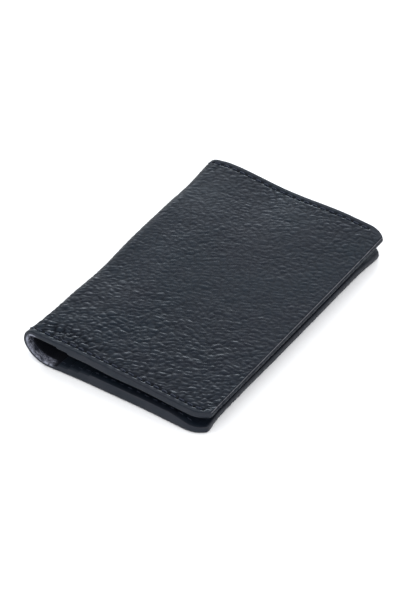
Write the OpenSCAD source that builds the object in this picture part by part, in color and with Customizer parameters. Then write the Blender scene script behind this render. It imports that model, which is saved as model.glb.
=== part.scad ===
// A bifold card holder, closed and lying on its back cover.
// One piece of leather makes both covers and the rounded spine. It turns in at each fore-edge
// and runs back towards the spine as a flap, with card dividers between the flap and the lining.
// Seams along the two short edges hold the layers together.
// The origin is the middle of the underside: +X to the fore-edge, +Y along the spine, +Z up.
// The spine opens at three places, one in the middle of each of its arcs.

/* [Overall] */
// Width when closed, from the spine to the fore-edge of the front cover
closed_w = 68.5; // [67:0.5:74]
// Length along the spine
holder_l = 105; // [98:1:115]
// How far the front cover reaches past the back cover at the fore-edge
overhang = 1.4; // [0:0.5:3]
// Radius by which a short edge curves in towards each fore-edge corner
corner_r = 9.3; // [7:0.1:12]
// Length of that curve, which meets the turned fore-edge at a blunt point
corner_run = 6.9; // [4:0.1:7]

/* [Spine] */
// Outer radius of the spine beside the back cover
back_arc_r = 10; // [9:0.5:10.5]
// Outer radius of the spine at its middle
middle_arc_r = 5.5; // [5:0.5:6.5]
// Outer radius of the spine beside the front cover
front_arc_r = 3.5; // [3.2:0.1:4]
// Slope of the closed front cover down to its fore-edge, in degrees
cover_tilt = 3.3; // [2:0.1:3.6]
// Clearance between neighbouring lengths of the spine
spine_gap = 0.16; // [0.1:0.02:0.3]

/* [Layers] */
// Thickness of the outer leather
leather_t = 1.2; // [1:0.1:1.4]
// Thickness of the bonded leather that stiffens the covers and the spine
reinforcement_t = 0.3; // [0.2:0.05:0.4]
// Thickness of the lining
lining_t = 0.3; // [0.2:0.05:0.4]
// Thickness of a card divider
divider_t = 0.6; // [0.4:0.1:0.6]
// Thickness of the pared leather flap that turns in at a fore-edge
flap_t = 0.6; // [0.4:0.1:0.6]

/* [Card pockets] */
// Distance from the spine's end of the back cover to its first pocket mouth
back_mouth = 3.3; // [2:0.1:6]
// Distance from the spine's end of the front cover to its first pocket mouth
front_mouth = 8.8; // [7:0.1:12]
// Distance between one pocket mouth and the next
mouth_step = 4; // [3:0.5:5]
// How far the back dividers stop short of the fore-edge
back_divider_stop = 9; // [7:0.5:12]
// How far the front divider stops short of the fore-edge
front_divider_stop = 32; // [25:1:40]
// Length over which a flap comes down past the dividers' ends
flap_ramp = 2.5; // [2:0.5:4]

/* [Seams] */
// Distance of each seam from the short edge
seam_inset = 2.2; // [1.8:0.1:3]
// Distance from one stitch to the next
stitch_pitch = 3.1; // [2.6:0.1:3.6]
// Share of the pitch that a stitch covers
stitch_share = 0.74; // [0.6:0.02:0.8]
// Thickness of the thread across the seam
thread_w = 0.5; // [0.4:0.05:0.5]
// How far the thread stands up from the floor of its groove
thread_h = 0.3; // [0.2:0.05:0.3]
// Width of the groove that the outer stitches lie in
groove_w = 0.6; // [0.6:0.05:0.8]
// Depth of that groove
groove_d = 0.35; // [0.35:0.05:0.45]
// How far the seams stop short of the fore-edge
seam_stop = 5; // [5:0.5:8]

/* [Hidden] */
$fn = 96;

LEATHER = [0.15, 0.18, 0.22];
BOARD = [0.42, 0.36, 0.30];
LINING = [0.36, 0.38, 0.43];
DIVIDER = [0.20, 0.22, 0.26];
THREAD = [0.08, 0.09, 0.13];

near = -1;
far = 1;
BACK = 0;                                       // the outer face's heading on each cover's flat
FRONT = 3;
radii = [back_arc_r, middle_arc_r, front_arc_r];
arc_steps = 8;                                  // flats that round half an arc of the spine
fold_steps = 16;                                // flats that round a turned fore-edge
fold_step = (180 + cover_tilt) / 3;             // each arc of the spine turns this far
half_step = fold_step / 2;
shell_t = leather_t + reinforcement_t + lining_t;
fold_r = (shell_t + flap_t) / 2;                // outer radius of a turned fore-edge
seam_y = holder_l / 2 - seam_inset;
above = 20;                                     // higher than the holder

// The outer face runs from the back cover round the spine: heading is its direction in the XZ
// plane, and the inside of the holder is always on its right.
function heading(i) = 180 - i * fold_step;
function along(a) = [cos(a), sin(a)];
function right_of(a) = [sin(a), -cos(a)];
function reversed(list) = [for (k = [len(list) - 1:-1:0]) list[k]];

// Where the flat of the back cover meets the spine, so that the middle arc touches the left side
spine_x = -closed_w / 2 + middle_arc_r + (back_arc_r - middle_arc_r) * sin(fold_step);
function arc_start(i) =
    i == 0 ? [spine_x, 0] : arc_centre(i - 1) - radii[i - 1] * right_of(heading(i));
function arc_centre(i) = arc_start(i) + radii[i] * right_of(heading(i));
function gap_angle(i) = asin(spine_gap / 2 / radii[i]);

back_l = closed_w / 2 - overhang - spine_x;     // lengths of the covers from the spine's end
front_l = fold_r
    + (closed_w / 2 - fold_r - arc_start(FRONT)[0] + fold_r * sin(cover_tilt)) / cos(cover_tilt);

function length_of(cover) = cover == BACK ? back_l : front_l;
function dividers_of(cover) = cover == BACK ? 3 : 1;
function mouth_of(cover, k) = (cover == BACK ? back_mouth : front_mouth) + (k - 1) * mouth_step;
function stop_of(cover) =
    cover == BACK ? back_l - back_divider_stop : front_l - front_divider_stop;
function fore_x_of(cover) = closed_w / 2 - (cover == BACK ? overhang : 0);

// ---- points in the XZ plane ---------------------------------------------------------------

// A point of a cover, at a distance from the spine's end and a depth below the outer face
function cover_point(cover, u, depth) = arc_start(cover)
    + (cover == BACK ? -1 : 1) * u * along(heading(cover)) + depth * right_of(heading(cover));

function arc_point(i, angle, depth) =
    arc_centre(i) + (radii[i] - depth) * along(heading(i) + 90 - angle);

// Points along arc i at a depth, between two angles from the arc's start
function arc_points(i, from, to, depth) =
    [for (k = [0:arc_steps]) arc_point(i, from + (to - from) * k / arc_steps, depth)];

// The part of the spine that belongs to a cover, from its cut end to the flat
function cover_arc(cover, depth) = cover == BACK
    ? arc_points(0, half_step - gap_angle(0), 0, depth)
    : arc_points(2, half_step + gap_angle(2), fold_step, depth);

// The length of spine from the middle of arc i to the middle of the next arc
function spine_arcs(i, depth) = concat(
    arc_points(i, half_step + gap_angle(i), fold_step - half_step / arc_steps, depth),
    arc_points(i + 1, 0, half_step - gap_angle(i + 1), depth));

// ---- profiles -----------------------------------------------------------------------------

// Fills the space between two lines of points that run the same way
module band(line_0, line_1) polygon(concat(line_0, reversed(line_1)));

// A flat layer of a cover between two distances from the spine's end
module layer(cover, from, to, depth_0, depth_1)
    band([for (u = [from, to]) cover_point(cover, u, depth_0)],
        [for (u = [from, to]) cover_point(cover, u, depth_1)]);

// A layer that runs on from the flat of a cover round its part of the spine
module full_layer(cover, to, depth_0, depth_1)
    band(concat(cover_arc(cover, depth_0), [cover_point(cover, to, depth_0)]),
        concat(cover_arc(cover, depth_1), [cover_point(cover, to, depth_1)]));

// The outer leather of a cover: round the spine, along the outer face, round the fore-edge and
// back as the flap, which climbs over the ends of the dividers and stops at its mouth
module cover_profile(cover) {
    fold_u = length_of(cover) - fold_r;
    stop = stop_of(cover);
    mouth = mouth_of(cover, dividers_of(cover) + 1);
    high = shell_t + dividers_of(cover) * divider_t;
    fold = [for (k = [0:fold_steps]) [fold_u, fold_r] + fold_r * along(180 * k / fold_steps - 90)];
    flap = [[stop + flap_ramp, shell_t + flap_t], [stop, high + flap_t], [mouth, high + flap_t],
        [mouth, high], [stop, high], [stop + flap_ramp, shell_t], [fold_u, shell_t]];
    polygon(concat(cover_arc(cover, 0),
        [for (p = concat(fold, flap, [[fold_u, leather_t]])) cover_point(cover, p[0], p[1])],
        reversed(cover_arc(cover, leather_t))));
}

// ---- solids -------------------------------------------------------------------------------

// Turns a profile in the XZ plane into a solid of the given width along Y
module across(width, y = 0)
    translate([0, y + width / 2, 0]) rotate([90, 0, 0]) linear_extrude(height = width) children();

// Curves the short edges of a cover in towards the fore-edge, seen from above
module trim(cover) {
    fore_x = fore_x_of(cover);
    corner_x = fore_x - corner_run;
    intersection() {
        children();
        translate([0, 0, -1]) linear_extrude(height = above) intersection() {
            union() {
                translate([-closed_w, -holder_l / 2]) square([closed_w + corner_x, holder_l]);
                translate([0, corner_r - holder_l / 2])
                    square([fore_x, holder_l - 2 * corner_r]);
                for (side = [near, far])
                    translate([corner_x, side * (holder_l / 2 - corner_r)])
                        circle(r = corner_r);
            }
            translate([-closed_w, -holder_l / 2]) square([closed_w + fore_x, holder_l]);
        }
    }
}

// The groove of both seams, from a profile of the groove's depth
module grooves()
    for (side = [near, far]) across(groove_w, side * seam_y) children();

module cover_leather(cover)
    color(LEATHER) difference() {
        trim(cover) across(holder_l) cover_profile(cover);
        grooves() full_layer(cover, length_of(cover) - seam_stop, -1, groove_d);
    }

module cover_inner_layer(cover, depth_0, depth_1)
    trim(cover) across(holder_l)
        full_layer(cover, length_of(cover) - 2 * fold_r, depth_0, depth_1);

module cover_reinforcement(cover)
    color(BOARD) cover_inner_layer(cover, leather_t, leather_t + reinforcement_t);

module cover_lining(cover)
    color(LINING) cover_inner_layer(cover, leather_t + reinforcement_t, shell_t);

module divider(cover, k)
    color(DIVIDER) across(holder_l)
        layer(cover, mouth_of(cover, k), stop_of(cover),
            shell_t + (k - 1) * divider_t, shell_t + k * divider_t);

module spine_layer(i, depth_0, depth_1)
    band(spine_arcs(i, depth_0), spine_arcs(i, depth_1));

module spine_leather(i)
    color(LEATHER) difference() {
        across(holder_l) spine_layer(i, 0, leather_t);
        grooves() spine_layer(i, -1, groove_d);
    }

module spine_reinforcement(i)
    color(BOARD) across(holder_l) spine_layer(i, leather_t, leather_t + reinforcement_t);

module spine_lining(i)
    color(LINING) across(holder_l) spine_layer(i, leather_t + reinforcement_t, shell_t);

// ---- stitches -----------------------------------------------------------------------------

// Depth of the innermost face of a cover, at a distance from the spine's end
function inner_face(cover, u) =
    let (passed = [for (k = [1:dividers_of(cover) + 1]) if (u >= mouth_of(cover, k)) k],
        below_ramp = min(1, max(0, (stop_of(cover) + flap_ramp - u) / flap_ramp)))
    len(passed) <= dividers_of(cover)
        ? shell_t + len(passed) * divider_t
        : shell_t + flap_t + dividers_of(cover) * divider_t * below_ramp;

// The stitches of one seam on the flat of a cover, on its outer and inner faces
module flat_stitches(cover) {
    stitch_l = stitch_share * stitch_pitch;
    for (k = [0:floor((length_of(cover) - seam_stop) / stitch_pitch) - 1]) {
        from = (k + 0.5) * stitch_pitch - stitch_l / 2;
        to = from + stitch_l;
        inner = max(inner_face(cover, from), inner_face(cover, to));
        layer(cover, from, to, groove_d - thread_h, groove_d);
        layer(cover, from, to, inner, inner + thread_h);
    }
}

// The stitches on one half of arc i, which starts at an angle from the arc's start
module arc_stitches(i, start) {
    count = max(1, round(radii[i] * half_step * PI / 180 / stitch_pitch));
    pitch = (half_step - 2 * gap_angle(i)) / count;
    rest = (1 - stitch_share) / 2;
    for (k = [0:count - 1]) {
        from = start + gap_angle(i) + (k + rest) * pitch;
        to = start + gap_angle(i) + (k + 1 - rest) * pitch;
        for (depth = [groove_d - thread_h, shell_t])
            band(arc_points(i, from, to, depth), arc_points(i, from, to, depth + thread_h));
    }
}

module seam(side)
    color(THREAD) across(thread_w, side * seam_y) children();

module back_stitches(side)
    seam(side) {
        flat_stitches(BACK);
        arc_stitches(0, 0);
    }

module spine_stitches(i, side)
    seam(side) {
        arc_stitches(i, half_step);
        arc_stitches(i + 1, 0);
    }

module front_stitches(side)
    seam(side) {
        flat_stitches(FRONT);
        arc_stitches(2, half_step);
    }

cover_leather(BACK);  // back_outer_leather
cover_reinforcement(BACK);  // back_reinforcement
cover_lining(BACK);  // back_lining
divider(BACK, 1);  // back_divider_1
divider(BACK, 2);  // back_divider_2
divider(BACK, 3);  // back_divider_3
back_stitches(near);  // back_near_stitches
back_stitches(far);  // back_far_stitches
spine_leather(0);  // spine_lower_leather
spine_reinforcement(0);  // spine_lower_reinforcement
spine_lining(0);  // spine_lower_lining
spine_stitches(0, near);  // spine_lower_near_stitches
spine_stitches(0, far);  // spine_lower_far_stitches
spine_leather(1);  // spine_upper_leather
spine_reinforcement(1);  // spine_upper_reinforcement
spine_lining(1);  // spine_upper_lining
spine_stitches(1, near);  // spine_upper_near_stitches
spine_stitches(1, far);  // spine_upper_far_stitches
cover_leather(FRONT);  // front_outer_leather
cover_reinforcement(FRONT);  // front_reinforcement
cover_lining(FRONT);  // front_lining
divider(FRONT, 1);  // front_divider_1
front_stitches(near);  // front_near_stitches
front_stitches(far);  // front_far_stitches
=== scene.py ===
import math

import bpy
import numpy as np
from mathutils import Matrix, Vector


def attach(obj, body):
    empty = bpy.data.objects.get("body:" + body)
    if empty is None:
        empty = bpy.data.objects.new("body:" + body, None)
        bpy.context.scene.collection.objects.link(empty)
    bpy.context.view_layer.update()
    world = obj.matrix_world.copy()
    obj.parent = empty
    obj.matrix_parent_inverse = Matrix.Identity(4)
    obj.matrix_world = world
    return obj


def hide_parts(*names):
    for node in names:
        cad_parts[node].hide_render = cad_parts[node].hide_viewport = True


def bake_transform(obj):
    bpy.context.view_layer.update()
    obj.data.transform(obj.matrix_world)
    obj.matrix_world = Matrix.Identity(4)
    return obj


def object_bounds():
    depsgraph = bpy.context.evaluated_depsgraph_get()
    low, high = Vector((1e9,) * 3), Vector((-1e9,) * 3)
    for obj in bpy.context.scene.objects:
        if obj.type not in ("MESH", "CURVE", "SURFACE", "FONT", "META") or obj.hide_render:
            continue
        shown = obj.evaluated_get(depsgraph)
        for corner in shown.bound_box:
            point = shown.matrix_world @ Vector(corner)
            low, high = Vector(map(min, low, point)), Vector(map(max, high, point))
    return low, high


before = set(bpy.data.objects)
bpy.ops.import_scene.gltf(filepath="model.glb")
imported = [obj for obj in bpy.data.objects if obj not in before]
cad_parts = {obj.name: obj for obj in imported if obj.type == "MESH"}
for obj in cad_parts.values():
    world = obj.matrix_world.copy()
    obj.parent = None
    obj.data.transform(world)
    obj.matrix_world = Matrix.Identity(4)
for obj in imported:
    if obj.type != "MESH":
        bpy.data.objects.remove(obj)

CAD_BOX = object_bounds()

# A bifold card holder in pebbled leather, closed. Sizes are in millimetres and mesh() turns them
# into metres. s is the distance along the outer face: 0 where the back cover's flat meets the
# spine, less on the back cover, more round the spine and on the front cover. Depth is measured
# from the outer face towards the inside.

MM = 0.001

# ---- sizes -----------------------------------------------------------------------------------

LENGTH = (CAD_BOX[1][1] - CAD_BOX[0][1]) / MM
RIGHT_X = CAD_BOX[1][0] / MM
LEFT_X = CAD_BOX[0][0] / MM
OVERHANG = 1.4
ARC_R = (10.0, 5.5, 3.5)          # outer radii of the spine, from the back cover to the front
TILT = 3.3                        # slope of the front cover, in degrees
LEATHER_T, BOARD_T, LINING_T, DIVIDER_T, FLAP_T = 1.2, 0.3, 0.3, 0.6, 0.6
SHELL_T = LEATHER_T + BOARD_T + LINING_T
FOLD_R = (SHELL_T + FLAP_T) / 2
FOLD_POWER = 3.6                  # how square the turned fore-edges are: 2 would be round
CORNER_R, CORNER_RUN = 9.3, 6.9
MOUTH_STEP = 4.0
RAMP = {"back": 11.0, "front": 12.0}       # length over which the flap comes down to the lining
FIRST_MOUTH = {"back": 3.3, "front": 8.8}
DIVIDERS = {"back": 3, "front": 1}
RAMP_END = {"back": 2.0, "front": 24.0}    # where it gets there, from the fore-edge
SEAM_INSET, STITCH = 2.2, 3.1
SEAM_STOP = {"back": 5.0, "near": 3.0, "far": 6.2}    # from the fore-edge to the last hole
SEAM_Y = LENGTH / 2 - SEAM_INSET

FINE = 0.37                       # spacing of the grid that carries the grain
GRAIN_D = 0.27                    # depth of the valleys between pebbles
PEBBLE = 1.5                      # usual width of a pebble
PEBBLE_ASPECT, PEBBLE_TURN = 1.7, 32     # how long it is for its width, and its direction
ARRIS_R = 0.4                     # rounding of the outer face at the cut edges
FACE_PAINTED_LIGHT = {"back": 0.16, "front": 0.0}   # how much painted light, as if from the floor, brightens the faces of the fore-edges
FACE_MATT = {"back": 0.0, "front": 1.0}    # how matt they are
MOUTH_R, DIVIDER_R = 0.28, 0.26   # rounding of the flaps' and the dividers' mouths
SEAM_D, HOLE_D = 0.26, 0.40       # how far the seam and its holes press the outer face in
PAINT_START = 0.30                # depth at which the paint of the cut edges starts
PAINT_HALF, PAINT_IN = 0.28, 0.22     # half the bead's width, and how far in its middle lies
PAINT_POWER = 4.0                 # how square the bead is: 2 would be round
THREAD_R, STRAND_R, TURNS = 0.135, 0.11, 1.6   # a strand, its winding, and its turns in a stitch
INNER_INSET = 0.12                # how far the inner layers stay in from the cut edges
HAIR = 0.01                       # keeps faces that touch from lying in one plane

STEP = math.radians(180 + TILT) / 3
ARC_L = [r * STEP for r in ARC_R]
SPINE_S = [0.0, ARC_L[0], ARC_L[0] + ARC_L[1], sum(ARC_L)]


# ---- the outer face in the XZ plane ------------------------------------------------------------

def along(a):
    return np.array([np.cos(a), np.sin(a)])


def right_of(a):
    return np.array([np.sin(a), -np.cos(a)])


def heading(i):
    return math.pi - i * STEP


SPINE_X = LEFT_X + ARC_R[1] + (ARC_R[0] - ARC_R[1]) * math.sin(STEP)
STARTS = [np.array([SPINE_X, 0.0])]
CENTRES = []
for index, radius in enumerate(ARC_R):
    CENTRES.append(STARTS[index] + radius * right_of(heading(index)))
    STARTS.append(CENTRES[index] - radius * right_of(heading(index + 1)))

FORE_X = {"back": RIGHT_X - OVERHANG, "front": RIGHT_X}
TILT_A = math.radians(TILT)
COVER_L = {
    "back": FORE_X["back"] - SPINE_X,
    "front": FOLD_R + (RIGHT_X - FOLD_R - STARTS[3][0] + FOLD_R * math.sin(TILT_A))
    / math.cos(TILT_A),
}
FIRST_S = -COVER_L["back"]
LAST_S = SPINE_S[3] + COVER_L["front"]


def skin(s, depth=0.0):
    """Points of the XZ plane at distance s along the outer face and a depth below it"""
    s, depth = np.broadcast_arrays(np.asarray(s, float), np.asarray(depth, float))
    out = np.empty(s.shape + (2,))
    back = s <= 0
    out[back] = np.stack([SPINE_X - s[back], depth[back]], -1)
    for i, r in enumerate(ARC_R):
        on = (s > SPINE_S[i]) & (s <= SPINE_S[i + 1])
        a = heading(i) + math.pi / 2 - (s[on] - SPINE_S[i]) / r
        out[on] = CENTRES[i] + (r - depth[on])[:, None] * np.stack([np.cos(a), np.sin(a)], -1)
    front = s > SPINE_S[3]
    out[front] = (STARTS[3] + (s[front] - SPINE_S[3])[:, None] * along(-TILT_A)
                  + depth[front][:, None] * right_of(-TILT_A))
    return out


def cover_of(s):
    return "back" if s < SPINE_S[3] / 2 else "front"


def to_u(s):
    """Distance from the spine's end of the cover that s is on"""
    return np.maximum(-s, s - SPINE_S[3])


def to_s(cover, u):
    """s at a distance u from the spine's end of a cover"""
    return -u if cover == "back" else SPINE_S[3] + u


def smooth(t):
    t = np.clip(t, 0, 1)
    return t * t * (3 - 2 * t)


def mouth_u(cover, k):
    return FIRST_MOUTH[cover] + (k - 1) * MOUTH_STEP


def flap_low_side(cover, u):
    """Depth of the flap's hidden face: on the lining beside the fore-edge, then on the dividers"""
    rise = smooth((COVER_L[cover] - RAMP_END[cover] - u) / RAMP[cover])
    return SHELL_T + DIVIDERS[cover] * DIVIDER_T * rise


def divider_stop(cover, k):
    """Where the flap comes down to a divider, which ends there"""
    u = np.linspace(0, COVER_L[cover], 600)
    return u[flap_low_side(cover, u) > SHELL_T + (k - 0.12) * DIVIDER_T][-1]


def stack_depth(s):
    """Depth of the innermost face of all the layers, at distance s"""
    s = np.asarray(s, float)
    depth = np.full(s.shape, SHELL_T)
    for cover in ("back", "front"):
        u = -s if cover == "back" else s - SPINE_S[3]
        last = mouth_u(cover, DIVIDERS[cover] + 1)
        for k in range(1, DIVIDERS[cover] + 1):
            mouth = mouth_u(cover, k)
            depth = np.where((u > 0) & (u < last), depth + DIVIDER_T * smooth(
                (u - mouth) / 0.35 + 0.5), depth)
        on_flap = u >= last
        depth = np.where(on_flap, flap_low_side(cover, u) + FLAP_T * smooth(
            (u - last) / 0.35 + 0.5), depth)
    return depth


def half_width(x, cover):
    """Half the length of a cover where its short edges curve in towards the fore-edge"""
    over = np.clip(np.asarray(x) - (FORE_X[cover] - CORNER_RUN), 0, CORNER_RUN)
    return LENGTH / 2 - (CORNER_R - np.sqrt(CORNER_R ** 2 - over ** 2))


def bell(v, middle, width):
    return np.exp(-((v - middle) / width) ** 2)


def waist(y):
    """How much the spine is drawn in along its length"""
    return (1.05 * smooth((LENGTH / 2 - y) / 19) * smooth((y + 62) / 32)
            + 0.63 * bell(y, -14, 12))


def lower_fore_edge(y):
    """How far out the lower cover's fore-edge stands along its length"""
    return (0.8 * smooth((y - 35) / 15) + 0.8 * smooth((-42 - y) / 9)
            - 0.2 * bell(y, -30, 14) - 0.3)


def far_sag(x):
    """How far the front cover hangs down along its far edge, whose corner lifts"""
    return (0.4 * smooth((8 - x) / 14) + 0.4 * bell(x, -5, 11) + 0.6 * smooth((-20 - x) / 12)
            - 0.35 * smooth((x - 2) / 18))


def warp(co):
    """The unevenness of the real holder, the same for every layer. The spine is drawn in along its
    length, opens out at the near end and is pulled in at the far corner, the far edge sags, and
    the fore-edge of the lower cover isn't straight."""
    x, y, z = co[:, 0], co[:, 1], co[:, 2]
    half = LENGTH / 2
    upper = smooth((z - 4.0) / 2.2)
    spine = smooth((-12 - x) / 18)
    fore = smooth((x - 8) / 20)
    far, near = smooth((y - 20) / (half - 20)), smooth((-y - 30) / (half - 30))
    near_tip = smooth((-44 - y) / 8)
    far_spine_corner = smooth((y - 42) / 10) * smooth((-26 - x) / 7)

    dx = (0.84 * waist(y) - 0.3 * near_tip) * spine + lower_fore_edge(y) * fore * (1 - upper)
    dy = (0.7 * far * smooth((x - 2) / 18) * upper - 0.65 * near * smooth((-10 - x) / 22)
          - 0.5 * near_tip * fore * (1 - upper) - 1.1 * far_spine_corner * upper)
    dz = -(0.54 * waist(y) * spine + far_sag(x) * far) * upper
    return co + np.stack([dx, dy, dz], 1)


# ---- patterns ----------------------------------------------------------------------------------

def hashed(ix, iy, seed):
    """A repeatable number from 0 to 1 for each cell of a grid"""
    h = (ix.astype(np.int64) * 374761393 + iy.astype(np.int64) * 668265263 + seed * 2147483) \
        & 0xFFFFFFFF
    h = ((h ^ (h >> 13)) * 1274126177) & 0xFFFFFFFF
    h = ((h ^ (h >> 16)) * 2246822519) & 0xFFFFFFFF
    return ((h ^ (h >> 15)) & 0xFFFFFF) / float(0x1000000)


def value_noise(x, y, size, seed):
    """Smooth noise from -1 to 1"""
    gx, gy = x / size, y / size
    ix, iy = np.floor(gx), np.floor(gy)
    fx, fy = smooth(gx - ix), smooth(gy - iy)
    corner = [[hashed(ix + i, iy + j, seed) for j in (0, 1)] for i in (0, 1)]
    low = corner[0][0] * (1 - fy) + corner[0][1] * fy
    high = corner[1][0] * (1 - fy) + corner[1][1] * fy
    return (low * (1 - fx) + high * fx) * 2 - 1


def cells(x, y, size, seed):
    """Distances to the nearest and second nearest of scattered points, and the nearest's number"""
    gx, gy = x / size, y / size
    ix, iy = np.floor(gx), np.floor(gy)
    first = np.full(x.shape, 9.0)
    second = np.full(x.shape, 9.0)
    number = np.zeros(x.shape)
    for i in (-1, 0, 1):
        for j in (-1, 0, 1):
            cx, cy = ix + i, iy + j
            px = cx + 0.5 + 0.85 * (hashed(cx, cy, seed) - 0.5)
            py = cy + 0.5 + 0.85 * (hashed(cx, cy, seed + 1) - 0.5)
            d = np.hypot(gx - px, gy - py)
            nearer = d < first
            second = np.where(nearer, first, np.minimum(second, d))
            number = np.where(nearer, hashed(cx, cy, seed + 2), number)
            first = np.where(nearer, d, first)
    return first * size, second * size, number


def grain(s, y):
    """Depth of the pebbled grain, and how much of a valley each point is. Pebbles of one size,
    some of them broken into small lumps, lie in rows that wander, with creases across them."""
    bent_s = s + 0.9 * value_noise(s, y, 5.0, 11) + 0.55 * value_noise(s, y, 2.1, 12)
    bent_y = y + 0.9 * value_noise(s, y, 5.0, 13) + 0.35 * value_noise(s, y, 1.7, 14)
    turn = math.radians(PEBBLE_TURN)
    a = (bent_s * math.cos(turn) + bent_y * math.sin(turn)) / PEBBLE_ASPECT
    b = -bent_s * math.sin(turn) + bent_y * math.cos(turn)

    nearest, second, number = cells(a, b, PEBBLE, 21)
    pebble = np.sqrt(np.clip((second - nearest) / (0.84 * PEBBLE), 0, 1))
    valley = 1 - smooth((second - nearest) / 0.6)
    nearest, second, _ = cells(a * 1.2 + 40, b, PEBBLE * 0.48, 31)
    lump = np.sqrt(np.clip((second - nearest) / (0.40 * PEBBLE), 0, 1))
    broken = smooth(1.3 * value_noise(s, y, 3.2, 51) + number)
    crease = np.exp(-(value_noise(a / 1.8, b, 1.5, 42) / 0.16) ** 2)

    depth = 0.62 * (1 - pebble)
    depth += 0.42 * broken * (1 - lump)
    depth += 0.22 * crease + 0.30 * (0.5 - number) + 0.10 * value_noise(a, b, 0.6, 41)
    strength = 0.66 + 0.70 * smooth((5 - y) / 45) + 0.20 * value_noise(s, y, 9.0, 52)
    return GRAIN_D * np.clip(depth * strength, 0, 1.3), valley


def seam_holes(side):
    first, last = FIRST_S + SEAM_STOP["back"], LAST_S - SEAM_STOP["near" if side < 0 else "far"]
    return np.linspace(first, last, round((last - first) / STITCH) + 1)


HOLES = {side: seam_holes(side) for side in (-1, 1)}


def seam_line(width):
    """The seam keeps its distance from the cut edge, and follows part of its curve at a corner"""
    return SEAM_Y - 0.6 * (LENGTH / 2 - width)


def seam_dent(s, y, width):
    """How far the seam presses the outer face in, and how much of a hole each point is"""
    off = np.abs(y) - seam_line(width)
    dent, hole = np.zeros(y.shape), np.zeros(y.shape)
    for side, holes in HOLES.items():
        here = np.sign(y) == side
        pitch = holes[1] - holes[0]
        on_row = here * smooth((s - holes[0] + 0.6) / 0.6) * smooth((holes[-1] + 0.6 - s) / 0.6)
        nearest = holes[0] + np.round((s - holes[0]) / pitch) * pitch
        dot = bell(s, nearest, 0.55) * bell(off, 0, 0.42) * on_row
        on_spine = smooth(s) * smooth(SPINE_S[3] - s)
        pull = (0.6 + 0.4 * bell(s, nearest, 0.8)) * (1 - 0.6 * on_spine)
        dent += SEAM_D * bell(off, 0, 0.55) * pull * on_row + HOLE_D * dot
        hole += dot
    return dent, hole


# ---- making meshes -----------------------------------------------------------------------------

def mesh(name, co, faces, material):
    """A piece from points in millimetres"""
    data = bpy.data.meshes.new(name)
    data.from_pydata((warp(np.asarray(co, float)) * MM).tolist(), [], faces)
    data.materials.append(material)
    data.polygons.foreach_set("use_smooth", [True] * len(data.polygons))
    data.update()
    obj = bpy.data.objects.new(name, data)
    bpy.context.scene.collection.objects.link(obj)
    return obj


def attribute(obj, name, values, hidden=0):
    """A number for each point that a material reads; it is 0 on the hidden points, which come last"""
    values = np.concatenate([np.ravel(values), np.zeros(hidden)])
    layer = obj.data.attributes.new(name, "FLOAT", "POINT")
    layer.data.foreach_set("value", np.asarray(values, np.float32))


def grid_faces(columns, rows, first, flip):
    j, i = np.meshgrid(np.arange(columns - 1), np.arange(rows - 1), indexing="ij")
    a = (first + j * rows + i).ravel()
    quads = np.stack([a, a + rows, a + rows + 1, a + 1], 1)
    return (quads[:, ::-1] if flip else quads).tolist()


def shell(name, path, thick, width, rows, back_rows, material, relief=None, round_ends=(0, 0)):
    """A closed sheet of material: path is its visible face in the XZ plane, seen with the visible
    side on the left, and width is half its size along Y. relief(y grid) gives the visible
    face's depth of pattern. round_ends rounds that face at the path's first and last point.
    Returns the piece, the visible face's y grid and the number of points on the hidden face."""
    tangent = np.gradient(path, axis=0)
    tangent /= np.linalg.norm(tangent, axis=1)[:, None]
    normal = np.stack([-tangent[:, 1], tangent[:, 0]], 1)
    run = np.concatenate([[0], np.cumsum(np.linalg.norm(np.diff(path, axis=0), axis=1))])
    drop = np.zeros(len(path))
    for r, d in zip(round_ends, (run, run[-1] - run)):
        if r:
            drop = np.maximum(drop, r - np.sqrt(np.maximum(r * r - np.maximum(r - d, 0) ** 2, 0)))
    y = width[:, None] * rows[None, :]
    down = drop[:, None] + (relief(y) if relief else 0 * y)
    y_back = width[:, None] * back_rows[None, :]
    under = (thick - drop)[:, None] + 0 * y_back

    def points(yy, dd):
        xz = path[:, None, :] - normal[:, None, :] * dd[:, :, None]
        return np.stack([xz[:, :, 0], yy, xz[:, :, 1]], 2).reshape(-1, 3)

    n, m, k = len(path), len(rows), len(back_rows)
    faces = grid_faces(n, m, 0, False) + grid_faces(n, k, n * m, True)
    for j in range(n - 1):
        o, b = j * m, n * m + j * k
        faces.append((o, b, b + k, o + m))
        o, b = o + m - 1, b + k - 1
        faces.append((o, o + m, b + k, b))
    last_o, last_b = (n - 1) * m, n * m + (n - 1) * k
    faces.append(tuple(range(m)) + tuple(n * m + i for i in reversed(range(k))))
    faces.append(tuple(last_o + i for i in reversed(range(m)))
                 + tuple(last_b + i for i in range(k)))
    obj = mesh(name, np.concatenate([points(y, down), points(y_back, under)]), faces, material)
    return obj, y, n * k


def spaced(start, end, step):
    return np.linspace(start, end, max(2, int(round(abs(end - start) / step)) + 1))


def joined(*parts):
    """Stretches of a path, each starting where the last one ended"""
    return np.concatenate([parts[0]] + [p[1:] for p in parts[1:]])


def even_rows(step):
    return np.linspace(-1, 1, int(LENGTH / step) + 1)


def mirrored(side):
    """Rows from side, which starts at 0, and its mirror image, as shares of half the length"""
    return np.concatenate([-side[:0:-1], side]) * 2 / LENGTH


def rim_rows():
    return mirrored(joined(spaced(0, SEAM_Y - 2, 1.0), spaced(SEAM_Y - 2, LENGTH / 2, 0.25)))


def grain_rows():
    """Rows for the pebbled face, closer together along the seams and at the cut edges"""
    half = LENGTH / 2
    side = joined(spaced(0, SEAM_Y - 1.2, FINE), spaced(SEAM_Y - 1.2, SEAM_Y + 0.9, 0.15),
                  spaced(SEAM_Y + 0.9, half - 0.55, 0.2), spaced(half - 0.55, half, 0.09))
    return mirrored(side)


# ---- materials ---------------------------------------------------------------------------------

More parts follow.
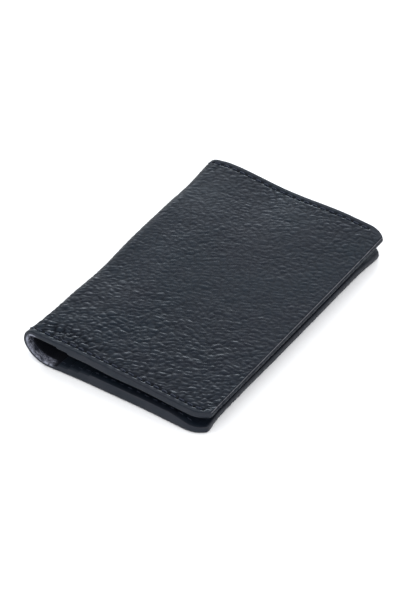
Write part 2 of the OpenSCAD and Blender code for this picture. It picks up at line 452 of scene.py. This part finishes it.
class Nodes:
    """Short ways to build a node tree"""

    def __init__(self, name):
        self.material = bpy.data.materials.new(name)
        self.material.use_nodes = True
        self.tree = self.material.node_tree
        self.shader = self.tree.nodes["Principled BSDF"]

    def add(self, kind, inputs=(), **settings):
        node = self.tree.nodes.new(kind)
        for key, value in settings.items():
            setattr(node, key, value)
        for key, value in dict(inputs).items():
            if isinstance(value, bpy.types.NodeSocket):
                self.tree.links.new(value, node.inputs[key])
            else:
                node.inputs[key].default_value = value
        return node

    def place(self):
        return self.add("ShaderNodeTexCoord").outputs["Object"]

    def noise(self, scale, detail=3.0, rough=0.5):
        return self.add("ShaderNodeTexNoise", {
            "Vector": self.place(), "Scale": scale, "Detail": detail,
            "Roughness": rough}).outputs["Fac"]

    def crazing(self, scale):
        """Distance from the borders between small cells"""
        return self.add("ShaderNodeTexVoronoi", {"Vector": self.place(), "Scale": scale},
                        feature="DISTANCE_TO_EDGE").outputs["Distance"]

    def yarns(self, direction):
        return self.add("ShaderNodeTexWave", {
            "Vector": self.place(), "Scale": 900.0, "Distortion": 0.6},
            bands_direction=direction).outputs["Fac"]

    def mark(self, name):
        """One of the numbers that attribute() puts on the points"""
        return self.add("ShaderNodeAttribute", attribute_name=name).outputs["Fac"]

    def ramp(self, value, low, high, out_low, out_high):
        return self.add("ShaderNodeMapRange", {
            "Value": value, "From Min": low, "From Max": high, "To Min": out_low,
            "To Max": out_high}).outputs["Result"]

    def mix(self, factor, a, b):
        node = self.add("ShaderNodeMix", data_type="RGBA")
        for key, value in (("Factor", factor), ("A", a), ("B", b)):
            socket = [i for i in node.inputs if i.name == key and i.enabled][0]
            if isinstance(value, bpy.types.NodeSocket):
                self.tree.links.new(value, socket)
            else:
                socket.default_value = value
        return [o for o in node.outputs if o.enabled][0]

    def math(self, operation, a, b):
        return self.add("ShaderNodeMath", {0: a, 1: b}, operation=operation).outputs[0]

    def bump(self, height, strength, distance, normal=None):
        inputs = {"Height": height, "Strength": strength, "Distance": distance}
        if normal:
            inputs["Normal"] = normal
        return self.add("ShaderNodeBump", inputs).outputs["Normal"]

    def finish(self, **sockets):
        names = {"base": "Base Color", "rough": "Roughness", "normal": "Normal",
                 "specular": "Specular IOR Level", "sheen": "Sheen Weight",
                 "sheen_rough": "Sheen Roughness"}
        for key, value in sockets.items():
            socket = self.shader.inputs[names[key]]
            if isinstance(value, bpy.types.NodeSocket):
                self.tree.links.new(value, socket)
            else:
                socket.default_value = value
        return self.material


def rgb(r, g, b):
    return (r, g, b, 1.0)


def pebbled_leather():
    n = Nodes("pebbled_leather")
    valley = n.mark("valley")
    hole = n.mark("hole")
    patches = n.ramp(n.noise(55, 4, 0.6), 0.38, 0.62, 0, 1)
    dye = n.mix(patches, rgb(0.0042, 0.0082, 0.0136), rgb(0.0064, 0.0084, 0.0134))
    # lighter at random in patches, from rubbing
    lightened = n.mix(n.ramp(n.noise(700, 3), 0.4, 0.7, 0, 0.4), dye, rgb(0.011, 0.016, 0.023))
    # painted shade: darker in the valleys between the pebbles
    shaded_valleys = n.mix(n.math("MULTIPLY", valley, 0.7), lightened, rgb(0.0016, 0.0030, 0.0058))
    # lighter along the fore-edge's arris, by rubbing and as a painted highlight; painted light on the
    # lower cover's fore-edge face; faintly lighter at the cut edges
    wear_and_painted_light = n.mark("wear_and_painted_light")
    worn_and_lit = n.mix(n.math("MULTIPLY", wear_and_painted_light, n.ramp(n.noise(500, 3), 0.3, 0.7, 0.55, 1.0)), shaded_valleys,
                 rgb(0.150, 0.148, 0.160))
    # painted shade: near black in the stitch holes
    colour = n.mix(hole, worn_and_lit, rgb(0.0002, 0.0004, 0.0010))
    rough = n.math("ADD", n.ramp(n.noise(260, 3), 0.3, 0.7, 0.28, 0.38), n.math(
        "MULTIPLY", valley, 0.25))
    fine = n.bump(n.ramp(n.crazing(1900.0), 0, 0.16, 0, 1), 0.16, 0.00004)
    pores = n.bump(n.noise(5200, 2), 0.20, 0.00003, fine)
    matt = n.mark("matt")
    return n.finish(base=colour, rough=rough, specular=n.ramp(matt, 0, 1, 0.080, 0.040),
                    normal=pores)


def smooth_leather():
    n = Nodes("smooth_leather")
    dye = n.mix(n.ramp(n.noise(90, 4), 0.35, 0.65, 0, 1), rgb(0.0070, 0.0110, 0.0170),
                rgb(0.0105, 0.0135, 0.0195))
    fine = n.bump(n.ramp(n.crazing(1500.0), 0, 0.2, 0, 1), 0.25, 0.00005)
    return n.finish(base=dye, rough=n.ramp(n.noise(400), 0.3, 0.7, 0.42, 0.56),
                    specular=0.09, normal=fine)


def edge_paint():
    n = Nodes("edge_paint")
    dye = n.mix(n.ramp(n.noise(160, 3), 0.35, 0.65, 0, 1), rgb(0.0100, 0.0140, 0.0205),
                rgb(0.0140, 0.0170, 0.0240))
    wear_and_painted_light = n.mark("wear_and_painted_light")
    rim = n.mark("rim")
    # lighter along both arrises of the bead, by rubbing and as a painted highlight
    lightened = n.mix(n.math("MULTIPLY", wear_and_painted_light, n.ramp(n.noise(350, 3), 0.35, 0.65, 0.1, 0.8)), dye,
                   rgb(0.030, 0.029, 0.034))
    # painted light: a pale, mottled rim where light reaches in at the spine's ends
    lit_rim = n.mix(n.ramp(n.noise(600, 4, 0.7), 0.42, 0.58, 0, 1), rgb(0.03, 0.033, 0.045),
                rgb(0.22, 0.23, 0.28))
    dye = n.mix(rim, lightened, lit_rim)
    ripple = n.bump(n.noise(420, 3), 0.25, 0.00008)
    return n.finish(base=dye, rough=n.ramp(n.noise(300), 0.3, 0.7, 0.36, 0.50),
                    specular=0.13, normal=ripple)


def lining_cloth():
    n = Nodes("lining_cloth")
    dye = n.mix(n.ramp(n.noise(140, 4), 0.3, 0.7, 0, 1), rgb(0.004, 0.0045, 0.007),
                rgb(0.008, 0.009, 0.013))
    rim = n.mark("rim")
    # painted light: a pale, mottled rim where light reaches in at the spine's ends
    lit_rim = n.mix(n.ramp(n.noise(600, 4, 0.7), 0.42, 0.58, 0, 1), rgb(0.03, 0.033, 0.045),
                rgb(0.26, 0.27, 0.33))
    dye = n.mix(rim, dye, lit_rim)
    weave = n.math("MULTIPLY", n.yarns("Y"), n.yarns("DIAGONAL"))
    colour = n.mix(n.ramp(weave, 0, 0.5, 0.55, 0), dye, rgb(0.004, 0.005, 0.008))
    return n.finish(base=colour, rough=0.85, specular=0.05, sheen=0.03, sheen_rough=0.5,
                    normal=n.bump(weave, 0.5, 0.00010))


def bonded_board():
    n = Nodes("bonded_board")
    fibres = n.noise(1200, 5, 0.7)
    dye = n.mix(n.ramp(fibres, 0.35, 0.65, 0, 1), rgb(0.10, 0.075, 0.055), rgb(0.20, 0.16, 0.12))
    return n.finish(base=dye, rough=0.9, specular=0.2, normal=n.bump(fibres, 0.4, 0.00006))


def waxed_thread():
    n = Nodes("waxed_thread")
    fibre = n.noise(2600, 3, 0.6)
    dye = n.mix(n.ramp(fibre, 0.35, 0.65, 0, 1), rgb(0.0110, 0.0150, 0.0290),
                rgb(0.0250, 0.0310, 0.0490))
    return n.finish(base=dye, rough=0.48, specular=0.22, normal=n.bump(fibre, 0.35, 0.00004))


def floor_paint():
    n = Nodes("floor_paint")
    patches = n.ramp(n.noise(6, 2), 0.3, 0.7, 0, 1)
    tone = n.mix(patches, rgb(0.86, 0.86, 0.86), rgb(0.88, 0.88, 0.88))
    return n.finish(base=tone, rough=0.9, specular=0.1)


PEBBLED = pebbled_leather()
SMOOTH = smooth_leather()
PAINT = edge_paint()
CLOTH = lining_cloth()
BOARD = bonded_board()
THREAD = waxed_thread()


# ---- the thirds of the holder, and the CAD parts that pieces replace ---------------------------

# Each third of the holder bends across one joint, between the ends of one arc of the spine.
THIRDS = {
    "back": ("back_cover", "spine_lower", 0),
    "spine": ("spine_lower", "spine_upper", 1),
    "front": ("spine_upper", "front_cover", 2),
}


def bend(obj, third, slot, *nodes):
    """Bakes obj's placing into its points and hides the CAD parts named in nodes"""
    a, b, i = THIRDS[third]
    start, end = skin(SPINE_S[i], SHELL_T), skin(SPINE_S[i + 1] - 1e-6, SHELL_T)
    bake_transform(obj)
    if nodes:
        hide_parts(*nodes)
    return obj


def nodes_of(third, what):
    if third == "spine":
        return (f"spine_lower_{what}", f"spine_upper_{what}")
    return (f"{third}_{what}",)


def span(third, fore_inset):
    """First and last s of a third of the holder"""
    if third == "spine":
        return SPINE_S[1], SPINE_S[2]
    if third == "back":
        return FIRST_S + fore_inset, SPINE_S[1]
    return SPINE_S[2], LAST_S - fore_inset


# ---- outer leather -----------------------------------------------------------------------------

def rounded(v, power):
    """A sine or cosine, for a rounded square instead of a circle"""
    return np.sign(v) * np.abs(v) ** (2 / power)


def wrapped_end(cover):
    """The leather past the flat of a cover: round the fore-edge and back to the flap's mouth, as
    distances from the spine's end, depths, lengths along the leather, thicknesses, the painted
    highlight and rubbing on the arris with painted light on the fore-edge's face, and how matt it
    is beyond the arris"""
    fold_u = COVER_L[cover] - FOLD_R
    turn = np.linspace(-math.pi / 2, math.pi / 2, 33)
    out, down = rounded(np.cos(turn), FOLD_POWER), rounded(np.sin(turn), FOLD_POWER)
    mouth = mouth_u(cover, DIVIDERS[cover] + 1)
    back = joined(spaced(fold_u, mouth + 2.2, 0.7), spaced(mouth + 2.2, mouth + 0.3, 0.25),
                  spaced(mouth + 0.3, mouth, 0.06))
    u = joined(fold_u + FOLD_R * out, back)
    depth = joined(FOLD_R + FOLD_R * down, flap_low_side(cover, back) + FLAP_T)
    thick = np.full(len(u), FLAP_T)
    pared = (len(turn) - 1) // 2
    thick[:pared] = LEATHER_T + (FLAP_T - LEATHER_T) * smooth(np.arange(pared) / (pared - 1))
    length = np.concatenate([[0], np.cumsum(np.hypot(np.diff(u), np.diff(depth)))])
    # painted light on the fore-edge's face, as if from the floor
    face = FACE_PAINTED_LIGHT[cover] * smooth(1.5 * np.cos(turn))
    # along the arris: rubbing and a painted highlight
    lightened = np.concatenate([np.maximum(bell(turn, -math.pi / 4, 0.16), face),
                             np.zeros(len(back) - 1)])
    matt = np.concatenate([smooth((turn + math.pi / 4 - 0.05) / 0.25), np.ones(len(back) - 1)])
    matt *= FACE_MATT[cover] * (1 - smooth((length - 6) / 3))
    return u, depth, fold_u + length, thick, lightened, matt


def outer_leather(third):
    """A third of the outer leather. Its grain carries on past the fore-edge, fainter on the flap."""
    if third == "spine":
        s = spaced(SPINE_S[1], SPINE_S[2], FINE)
        path, leather_s, thick = skin(s), s, np.full(len(s), LEATHER_T)
        width = np.full(len(s), LENGTH / 2)
        flap = lightened = matt = np.zeros(len(s))
        ends = (0, 0)
    else:
        u, depth, reach, thin, lightened, matt = wrapped_end(third)
        arc = (0, SPINE_S[1]) if third == "back" else (SPINE_S[3], SPINE_S[2])
        s = joined(spaced(arc[1], arc[0], FINE), spaced(arc[0], to_s(third, u[0]), FINE))
        path = joined(skin(s), skin(to_s(third, u), depth))
        leather_s = joined(s, to_s(third, reach))
        thick = joined(np.full(len(s), LEATHER_T), thin)
        flap = joined(np.zeros(len(s)), smooth((reach - reach[0]) / 3.0))
        lightened, matt = joined(np.zeros(len(s)), lightened), joined(np.zeros(len(s)), matt)
        width = half_width(path[:, 0], third)
        ends = (0, MOUTH_R)
        if third == "back":
            path, leather_s, thick, flap, width, lightened, matt = (
                v[::-1] for v in (path, leather_s, thick, flap, width, lightened, matt))
            ends = (MOUTH_R, 0)
    mouth = {"back": leather_s[0], "front": leather_s[-1]}.get(third, math.inf)
    marks = {}

    def relief(y):
        s_grid = leather_s[:, None] + 0 * y
        edge = (width[:, None] - np.abs(y))
        depth, valley = grain(s_grid, y)
        margin = 0.22 + 0.78 * smooth((edge - 1.3) / 1.6)
        on_front = s_grid - SPINE_S[3]
        near_corner = smooth((on_front + 2) / 7) * smooth((25 - on_front) / 15)
        puff = 0.25 + 0.9 * smooth((-40 - y) / 6) * near_corner
        calm = margin * (1 - 0.55 * flap[:, None]) * (1 + puff * bell(edge, 5.5, 3.0))
        dent, hole = seam_dent(s_grid, y, width[:, None])
        on_face = (flap[:, None] == 0)
        arris = ARRIS_R - np.sqrt(ARRIS_R ** 2 - np.clip(ARRIS_R - edge, 0, ARRIS_R) ** 2)
        # painted shade: the valleys darken the leather's colour
        marks["valley"] = valley * calm
        # painted shade in the stitch holes
        marks["hole"] = hole * on_face
        # lighter at the arris (rubbing and a painted highlight), on the fore-edge's face (painted
        # light) and faintly at the cut edges
        marks["wear_and_painted_light"] = np.maximum(0 * y + lightened[:, None], 0.04 * (1 - smooth((edge - 0.2) / 1.6)))
        marks["matt"] = 0 * y + matt[:, None]
        crease = 0.09 * bell(np.abs(leather_s - mouth), 1.4, 0.2)
        pressed = 0.12 * (1 - margin) * on_face
        return depth * calm + pressed + dent * on_face + arris + crease[:, None]

    obj, _, hidden = shell(f"outer_leather_{third}", path, thick, width, grain_rows(),
                           even_rows(5), PEBBLED, relief, ends)
    for name in marks:
        attribute(obj, name, marks[name], hidden)
    what = "leather" if third == "spine" else "outer_leather"
    return bend(obj, third, "outer_leather", *nodes_of(third, what))


# ---- inner layers ------------------------------------------------------------------------------

def by_spine(s):
    """1 on the spine and 0 on the covers: how much painted light the rims of the lining and the edge
    paint get, where light reaches in at the spine's ends
    """
    return smooth((s + 2.5) / 2) * smooth((SPINE_S[3] + 2.5 - s) / 2)


def inner_layer(third, what, depth_0, depth_1, material, step, relief=None):
    """A layer between two depths, with its visible face on the inside. Also returns its length."""
    first, last = span(third, 2 * FOLD_R)
    s = spaced(last, first, step)
    path = skin(s, depth_1)
    if third == "spine":
        width = np.full(len(s), LENGTH / 2)
    else:
        width = half_width(path[:, 0], third)
    width = width - INNER_INSET
    picked = (lambda y: relief(s[:, None] + 0 * y, y)) if relief else None
    obj, y, hidden = shell(f"{what}_{third}", path, np.full(len(s), depth_1 - depth_0), width,
                           rim_rows(), even_rows(4.0), material, picked)
    on_spine = by_spine(s)
    # painted light on the lining's rim at the spine's ends
    rim = smooth((np.abs(y) - SEAM_Y + 0.7) / 0.6) * on_spine[:, None]
    attribute(obj, "rim", rim, hidden)
    return bend(obj, third, what, *nodes_of(third, what)), abs(last - first)


def wrinkles(s, y):
    """The lining gathers slightly where the spine bends it inwards"""
    inside = smooth((s + 1) / 3) * smooth((SPINE_S[3] + 1 - s) / 3)
    fold = np.sin(s * 2 * math.pi / 1.5 + 2.2 * value_noise(s, y, 9.0, 61))
    return 0.05 * inside * (1 + fold) * (0.6 + 0.4 * value_noise(s, y, 5.0, 62))


def lining():
    """One sheet of cloth, glued all over, in three lengths"""
    made = {third: inner_layer(third, "lining", LEATHER_T + BOARD_T, SHELL_T, CLOTH, 0.3, wrinkles)
            for third in THIRDS}


def divider(cover, k):
    """A thin leather panel with a creased mouth"""
    start, stop = mouth_u(cover, k), divider_stop(cover, k)
    u = joined(spaced(start, start + 0.3, 0.05), spaced(start + 0.3, start + 2.4, 0.2),
               spaced(start + 2.4, stop, 1.2))
    depth = SHELL_T + k * DIVIDER_T - HAIR
    if cover == "front":
        u = u[::-1]
    path = skin(to_s(cover, u), depth)
    ends = (DIVIDER_R, 0) if cover == "back" else (0, DIVIDER_R)

    def crease(y):
        return 0.07 * bell(u - start, 1.3, 0.2)[:, None] + 0 * y

    width = np.full(len(u), LENGTH / 2 - INNER_INSET)
    obj, *_ = shell(f"divider_{cover}_{k}", path, np.full(len(u), DIVIDER_T - 2 * HAIR), width,
                    even_rows(1.5), even_rows(4.0), SMOOTH, crease, ends)
    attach(obj, f"{cover}_cover")
    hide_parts(f"{cover}_divider_{k}")


# ---- cut edges ---------------------------------------------------------------------------------

def painted_edge(third, side):
    """The bead of paint over the cut ends of all the layers"""
    first, last = span(third, 0.02)
    s = spaced(first, last, 0.45)
    u = to_u(s)
    if third == "spine":
        width, past = np.full(len(s), LENGTH / 2), np.full(len(s), -1.0)
    else:
        width = half_width(skin(s)[:, 0], third)
        past = u - (COVER_L[third] - FOLD_R)
    low, high = PAINT_START + 0 * s, stack_depth(s) - 4 * HAIR
    turned = past > 0
    past_power = np.clip(past, 0, FOLD_R - 2 * HAIR) ** FOLD_POWER
    half = (FOLD_R ** FOLD_POWER - past_power) ** (1 / FOLD_POWER)
    high = high + 0.10 * value_noise(s, 0 * s + side, 4.0, 72)
    low = np.where(turned, FOLD_R - half + PAINT_START, low)
    high = np.where(turned, FOLD_R + half - 4 * HAIR, high)
    around = np.linspace(0, 2 * math.pi, 24, endpoint=False)
    across = rounded(np.cos(around), PAINT_POWER)
    updown = rounded(np.sin(around), PAINT_POWER)
    uneven = 0.03 * value_noise(s, 0 * s + side, 3.0, 71)
    depth = ((low + high) / 2)[:, None] + ((high - low) / 2)[:, None] * updown[None, :]
    y = width[:, None] - PAINT_IN + (PAINT_HALF + uneven)[:, None] * across[None, :]
    xz = skin(s[:, None] + 0 * depth, depth)
    co = np.stack([xz[:, :, 0], side * y, xz[:, :, 1]], 2).reshape(-1, 3)
    n, m = len(s), len(around)
    faces = []
    for j in range(n - 1):
        for i in range(m):
            k = (i + 1) % m
            quad = (j * m + i, j * m + k, (j + 1) * m + k, (j + 1) * m + i)
            faces.append(quad if side > 0 else quad[::-1])
    start, end = tuple(range(m)), tuple((n - 1) * m + i for i in range(m))
    faces += [start[::-1], end] if side > 0 else [start, end[::-1]]
    name = "near" if side < 0 else "far"
    obj = mesh(f"edge_paint_{name}_{third}", co, faces, PAINT)
    on_spine = by_spine(s)
    # painted light on the bead's inner part at the spine's ends
    attribute(obj, "rim", smooth((depth - 1.0) / 0.35) * on_spine[:, None])
    # lighter along both arrises of the bead, by rubbing and as a painted highlight
    attribute(obj, "wear_and_painted_light", np.tile(np.abs(updown) ** 6, len(s)))
    return bend(obj, third, "outer_leather")


# ---- stitches ----------------------------------------------------------------------------------

def stitch_points(s0, s1, side, inner, first):
    """Two twisted strands from one hole to the next, as rings of points and their faces. They sink
    into the holes at both ends. first is the number of the first point."""
    t = np.linspace(0, 1, 15)
    s = s0 + (s1 - s0) * (0.15 + 0.70 * t)
    surface = stack_depth(s) if inner else 0 * s
    outward = 1 if inner else -1
    sunk = 0.25 if s0 < 0 and not inner else 0.10      # deeper where the holder lies on it
    rise = -sunk - 0.60 * np.abs(2 * t - 1) ** 6
    middle = skin(s, surface + outward * rise)
    above = skin(s, surface + outward * (rise + 0.1))
    up = (above - middle) / np.linalg.norm(above - middle, axis=1)[:, None]
    up = np.stack([up[:, 0], 0 * t, up[:, 1]], 1)
    aside = np.tile([0.0, 1.0, 0.0], (len(t), 1))
    on_spine = (s > 0) & (s < SPINE_S[3])
    width = np.where(on_spine, LENGTH / 2, half_width(middle[:, 0], cover_of(s0)))
    centre = np.stack([middle[:, 0], side * seam_line(width), middle[:, 1]], 1)
    ring = np.linspace(0, 2 * math.pi, 7)[:-1]
    points, faces = [], []
    for strand in (0, 1):
        twist = 2 * math.pi * TURNS * t + math.pi * strand
        core = centre + STRAND_R * (np.cos(twist)[:, None] * up + np.sin(twist)[:, None] * aside)
        base = first + len(points)
        for j in range(len(t)):
            for a in ring:
                points.append(core[j] + THREAD_R * (math.cos(a) * up[j] + math.sin(a) * aside[j]))
        m = len(ring)
        for j in range(len(t) - 1):
            for i in range(m):
                k = (i + 1) % m
                faces.append((base + j * m + i, base + (j + 1) * m + i,
                              base + (j + 1) * m + k, base + j * m + k))
        faces.append(tuple(base + i for i in range(m)))
        faces.append(tuple(base + (len(t) - 1) * m + i for i in reversed(range(m))))
    return points, faces


def stitches(third, side, inner):
    """All the stitches of one seam on one third of the holder, on the outer or the inner face"""
    first, last = span(third, 0)
    points, faces = [], []
    for s0, s1 in zip(HOLES[side][:-1], HOLES[side][1:]):
        if first < (s0 + s1) / 2 <= last:
            more, around = stitch_points(s0, s1, side, inner, len(points))
            points += more
            faces += around
    name = "near" if side < 0 else "far"
    face = "inner" if inner else "outer"
    obj = mesh(f"thread_{name}_{face}_{third}", points, faces, THREAD)
    nodes = () if inner else nodes_of(third, f"{name}_stitches")
    return bend(obj, third, "thread", *nodes)


# ---- building ----------------------------------------------------------------------------------

for part in THIRDS:
    outer_leather(part)
    inner_layer(part, "reinforcement", LEATHER_T, LEATHER_T + BOARD_T, BOARD, 0.6)
    for edge in (-1, 1):
        painted_edge(part, edge)
        for on_inside in (False, True):
            stitches(part, edge, on_inside)
lining()
for cover_name, total in DIVIDERS.items():
    for number in range(1, total + 1):
        divider(cover_name, number)


# ---- floor, light and camera, in metres --------------------------------------------------------

FLOOR_HALF = 3.0
FLOOR_DROP = 0.0001               # keeps the floor out of the plane of the back cover


def floor():
    data = bpy.data.meshes.new("floor")
    r = FLOOR_HALF
    data.from_pydata([(-r, -r, 0), (r, -r, 0), (r, r, 0), (-r, r, 0)], [], [(0, 1, 2, 3)])
    data.materials.append(floor_paint())
    obj = bpy.data.objects.new("floor", data)
    obj.location.z = CAD_BOX[0][2] - FLOOR_DROP
    bpy.context.scene.collection.objects.link(obj)


def softbox(name, at, size, power, colour=(1, 1, 1)):
    """An area light that faces the holder"""
    lamp = bpy.data.lights.new(name, "AREA")
    lamp.shape = "RECTANGLE"
    lamp.size, lamp.size_y = size
    lamp.energy = power
    lamp.color = colour
    obj = bpy.data.objects.new(name, lamp)
    obj.location = at
    obj.rotation_euler = (-Vector(at)).to_track_quat("-Z", "Y").to_euler()
    bpy.context.scene.collection.objects.link(obj)


def surroundings():
    world = bpy.data.worlds.new("studio")
    world.use_nodes = True
    background = world.node_tree.nodes["Background"]
    background.inputs["Color"].default_value = (0.97, 0.98, 1.0, 1.0)
    background.inputs["Strength"].default_value = 1.55
    bpy.context.scene.world = world
    bpy.context.scene.view_settings.view_transform = "Standard"
    softbox("key", (-1.40, 2.56, 0.78), (1.2, 0.8), 52, (0.82, 0.91, 1.0))
    softbox("top", (0.5, -0.4, 1.6), (1.0, 1.0), 5)


def camera():
    """From the near left-hand side, about 34 degrees round and 41 degrees up"""
    azimuth, elevation = math.radians(33.8), math.radians(41.0)
    distance, lens, across, up_by = 1.102, 206.9, -0.00278, 0.00135
    back = Vector((math.sin(azimuth) * math.cos(elevation),
                   -math.cos(azimuth) * math.cos(elevation), math.sin(elevation)))
    right = Vector((math.cos(azimuth), math.sin(azimuth), 0))
    up = back.cross(right)
    data = bpy.data.cameras.new("camera")
    data.lens = lens
    data.sensor_width = 36
    data.clip_start, data.clip_end = 0.05, 20
    obj = bpy.data.objects.new("camera", data)
    obj.location = back * distance + right * across + up * up_by
    obj.rotation_euler = (-back).to_track_quat("-Z", "Y").to_euler()
    bpy.context.scene.collection.objects.link(obj)
    bpy.context.scene.camera = obj


floor()
surroundings()
camera()
